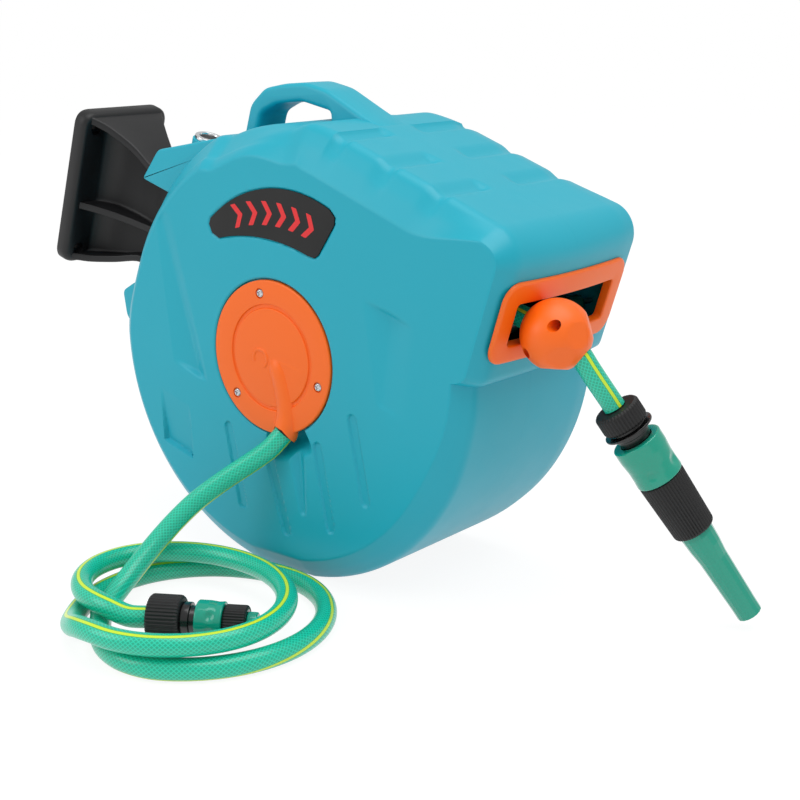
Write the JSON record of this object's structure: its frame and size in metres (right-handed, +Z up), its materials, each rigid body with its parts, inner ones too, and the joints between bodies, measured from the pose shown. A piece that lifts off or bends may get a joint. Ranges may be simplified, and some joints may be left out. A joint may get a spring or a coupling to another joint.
{
  "type": "retractable hose reel",
  "caption": "Retractable garden hose reel resting nose down on its base, with a hinged wall bracket, guide rollers, stop ball, spray nozzle and a coiled inlet hose.",
  "frame": {"origin": "on the floor, below the middle of the reel and its bracket", "axes": "+X the way the mouth faces, +Y away from the inlet hose's side along the drum's axis, +Z up"},
  "size_m": [0.6509, 0.387, 0.3803],
  "materials": {
    "teal_plastic": "moulded, fine matt texture",
    "orange_plastic": "moulded, satin",
    "black_plastic": "moulded, satin",
    "green_plastic": "moulded, half gloss",
    "white_plastic": "moulded, smooth",
    "hose": "translucent vinyl over a woven layer, glossy",
    "steel": "zinc plated",
    "chrome": "polished plating"
  },
  "bodies": {
    "case": {"badge": "black_plastic", "ball_screw_1": "steel", "ball_screw_2": "steel", "case_screw_1": "steel", "case_screw_2": "steel", "case_screw_3": "steel", "case_screw_4": "steel", "case_screw_5": "steel", "case_screw_6": "steel", "hose_lead": "hose", "inlet_coil": "hose", "inlet_core": "black_plastic", "inlet_cover": "orange_plastic", "inlet_cover_screw_1": "chrome", "inlet_cover_screw_2": "chrome", "inlet_cover_screw_3": "chrome", "inlet_elbow": "black_plastic", "inlet_end": "green_plastic", "inlet_hose": "hose", "inlet_nut": "black_plastic", "inlet_ring": "black_plastic", "left_housing": "teal_plastic", "lower_roller_pin": "steel", "mouth_bezel": "orange_plastic", "nozzle_grip": "black_plastic", "outlet_core": "black_plastic", "outlet_hose": "hose", "outlet_nut": "black_plastic", "pawl_pin": "steel", "pawl_spring": "steel", "power_spring": "steel", "right_housing": "teal_plastic", "spring_arbor": "steel", "spring_cover": "orange_plastic", "spring_cover_screw_1": "chrome", "spring_cover_screw_2": "chrome", "spring_cover_screw_3": "chrome", "stop_ball_left": "orange_plastic", "stop_ball_right": "orange_plastic", "upper_roller_pin": "steel"},
    "drum": {"drum": "black_plastic", "inner_hose_layers": "hose", "wound_hose": "hose", "spring_case": "steel", "ratchet_wheel": "white_plastic"},
    "upper_roller": {"upper_roller": "green_plastic"},
    "lower_roller": {"lower_roller": "green_plastic"},
    "pawl": {"pawl": "black_plastic"},
    "bracket": {"wall_bracket": "black_plastic"},
    "pin": {"pivot_pin": "chrome"},
    "outlet_collar": {"outlet_collar": "green_plastic"},
    "inlet_collar": {"inlet_collar": "green_plastic"},
    "nozzle_tip": {"nozzle_tip": "green_plastic"}
  },
  "joints": [
    {"name": "drum_spin", "type": "hinge", "parent": "case", "child": "drum", "pos_m": [0.0432, 0, 0.178], "axis": [0, 1, 0], "continuous": true, "deforming": ["hose_lead", "power_spring"]},
    {"name": "upper_roller_spin", "type": "hinge", "parent": "case", "child": "upper_roller", "pos_m": [0.23005, 0, 0.24876], "axis": [0, 1, 0], "continuous": true},
    {"name": "lower_roller_spin", "type": "hinge", "parent": "case", "child": "lower_roller", "pos_m": [0.22111, 0, 0.2195], "axis": [0, 1, 0], "continuous": true},
    {"name": "pawl_swing", "type": "hinge", "parent": "case", "child": "pawl", "pos_m": [0.02618, -0.0643, 0.23862], "axis": [0, -1, 0], "range_deg": [0, 18], "stiffness_Nm_per_rad": 0.01, "springref_deg": -28.65, "deforming": ["pawl_spring"]},
    {"name": "bracket_swivel", "type": "hinge", "parent": "case", "child": "bracket", "pos_m": [-0.13563, 0, 0.23267], "axis": [0.2924, 0, 0.9563], "range_deg": [-35, 35]},
    {"name": "pin_pull", "type": "slide", "parent": "case", "child": "pin", "axis": [0.2924, 0, 0.9563], "range_m": [0, 0.16]},
    {"name": "outlet_collar_slide", "type": "slide", "parent": "case", "child": "outlet_collar", "axis": [-0.4216, -0.3653, 0.8299], "range_m": [0, 0.004], "stiffness_N_per_m": 400, "springref_m": -0.004},
    {"name": "inlet_collar_slide", "type": "slide", "parent": "case", "child": "inlet_collar", "axis": [-0.8609, -0.5087, 0], "range_m": [0, 0.004], "stiffness_N_per_m": 400, "springref_m": -0.004},
    {"name": "nozzle_twist", "type": "hinge", "parent": "case", "child": "nozzle_tip", "pos_m": [0.34878, 0.02713, 0.07769], "axis": [0.4216, 0.3653, -0.8299], "range_deg": [0, 270]}
  ]
}
